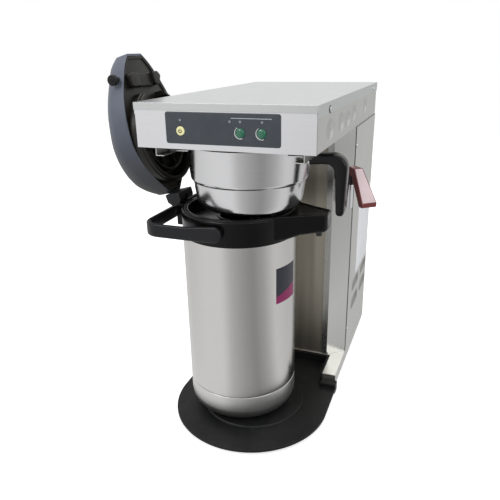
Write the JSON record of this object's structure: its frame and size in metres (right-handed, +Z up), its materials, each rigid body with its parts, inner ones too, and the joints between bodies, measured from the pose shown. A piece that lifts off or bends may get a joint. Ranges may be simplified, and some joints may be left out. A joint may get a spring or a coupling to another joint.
{
  "type": "airpot coffee and tea brewer",
  "caption": "Brewer with a stainless head on a tower, a sliding brew cone with handle, push buttons, a hot-water faucet and an airpot with its pump lid open.",
  "frame": {"origin": "on the table, straight under the centre line of the brew cone and of the raised disc on the drip plate", "axes": "+X to the right of a person facing the control panel, +Y towards the machine's back, +Z up"},
  "size_m": [0.3567, 0.482, 0.5229],
  "materials": {
    "steel_sheet": "brushed along its length",
    "polished_steel": "polished",
    "screw_steel": "bright",
    "black_plastic": "fine grain",
    "collar_plastic": "fine grain",
    "lid_plastic": "fine grain",
    "panel_plastic": "satin",
    "pale_button": "gloss",
    "green_button": "gloss",
    "lamp_plastic": "clear lens",
    "board": "lacquered",
    "silicone": "matt",
    "bellows_rubber": "matt",
    "rubber": "matt",
    "element_metal": "oxidised",
    "valve_plastic": "satin",
    "brass": "machined",
    "faucet_black": "semi-gloss",
    "red_plastic": "semi-gloss",
    "siphon_plastic": "smooth"
  },
  "bodies": {
    "chassis": {"base_chassis": "steel_sheet", "drip_plate": "black_plastic", "rear_feet": "rubber", "left_corner_post": "steel_sheet", "right_corner_post": "steel_sheet", "splash_panel": "polished_steel", "left_side_panel": "steel_sheet", "right_side_panel": "steel_sheet", "rear_panel": "steel_sheet", "head_front": "steel_sheet", "head_sides": "steel_sheet", "head_floor": "steel_sheet", "top_cover": "steel_sheet", "casing_screws": "screw_steel", "control_panel": "panel_plastic", "button_rings": "screw_steel", "indicator_lights": "lamp_plastic", "control_board": "board", "button_switches": "black_plastic", "brew_rails": "steel_sheet", "spray_head": "polished_steel", "spray_tube": "silicone", "water_tank": "polished_steel", "tank_gasket": "silicone", "tank_lid": "polished_steel", "heating_element": "element_metal", "tank_probes": "polished_steel", "brew_valve": "valve_plastic", "inlet_fitting": "brass", "inlet_valve": "valve_plastic", "inlet_hose": "silicone", "cord_gland": "black_plastic", "power_relay": "black_plastic", "faucet_shank": "polished_steel", "faucet_body": "faucet_black", "faucet_spout": "polished_steel"},
    "power_key": {"power_button": "pale_button"},
    "left_brew_key": {"brew_button_left": "green_button"},
    "right_brew_key": {"brew_button_right": "green_button"},
    "faucet_handle": {"faucet_lever": "red_plastic"},
    "brew_cone": {"cone_shell": "polished_steel", "cone_bracket": "polished_steel", "cone_handle": "black_plastic", "wire_basket": "polished_steel"},
    "airpot": {"airpot_body": "polished_steel", "airpot_bottom_cup": "polished_steel", "airpot_base_ring": "black_plastic", "vacuum_liner": "polished_steel", "airpot_collar": "collar_plastic", "siphon_tube": "siphon_plastic", "hinge_pin": "screw_steel", "bail_pivots": "screw_steel"},
    "carrying_bail": {"airpot_bail": "black_plastic"},
    "airpot_lid": {"lid_shell": "lid_plastic", "lid_underside": "lid_plastic", "lid_hinge_block": "black_plastic", "lid_seal": "silicone", "pump_bellows": "bellows_rubber"},
    "pump_handle": {"pump_lever": "black_plastic"}
  },
  "joints": [
    {"name": "power_button_press", "type": "slide", "parent": "chassis", "child": "power_key", "axis": [0, 1, 0], "range_m": [0, 0.001], "stiffness_N_per_m": 400, "springref_m": -0.001},
    {"name": "left_brew_button_press", "type": "slide", "parent": "chassis", "child": "left_brew_key", "axis": [0, 1, 0], "range_m": [0, 0.001], "stiffness_N_per_m": 400, "springref_m": -0.001},
    {"name": "right_brew_button_press", "type": "slide", "parent": "chassis", "child": "right_brew_key", "axis": [0, 1, 0], "range_m": [0, 0.001], "stiffness_N_per_m": 400, "springref_m": -0.001},
    {"name": "faucet_lever_lift", "type": "hinge", "parent": "chassis", "child": "faucet_handle", "pos_m": [0.11782, 0.11976, 0.3535], "axis": [-0.7944, -0.6074, 0], "range_deg": [0, 25], "stiffness_Nm_per_rad": 0.2, "springref_deg": -17.19},
    {"name": "brew_cone_slide", "type": "slide", "parent": "chassis", "child": "brew_cone", "axis": [0, -1, 0], "range_m": [0, 0.12]},
    {"name": "airpot_slide", "type": "slide", "parent": "chassis", "child": "airpot", "axis": [0, -1, 0], "range_m": [0, 0.15]},
    {"name": "bail_swing", "type": "hinge", "parent": "airpot", "child": "carrying_bail", "pos_m": [-0.017, 0, 0.3065], "axis": [0, 1, 0], "range_deg": [0, 3]},
    {"name": "lid_hinge", "type": "hinge", "parent": "airpot", "child": "airpot_lid", "pos_m": [-0.111, 0, 0.3225], "axis": [0, 1, 0], "range_deg": [0, 3]},
    {"name": "pump_lever_press", "type": "hinge", "parent": "airpot_lid", "child": "pump_handle", "pos_m": [-0.16663, 0, 0.49112], "axis": [0, -1, 0], "range_deg": [0, 10], "stiffness_Nm_per_rad": 0.5, "springref_deg": -17.19}
  ]
}
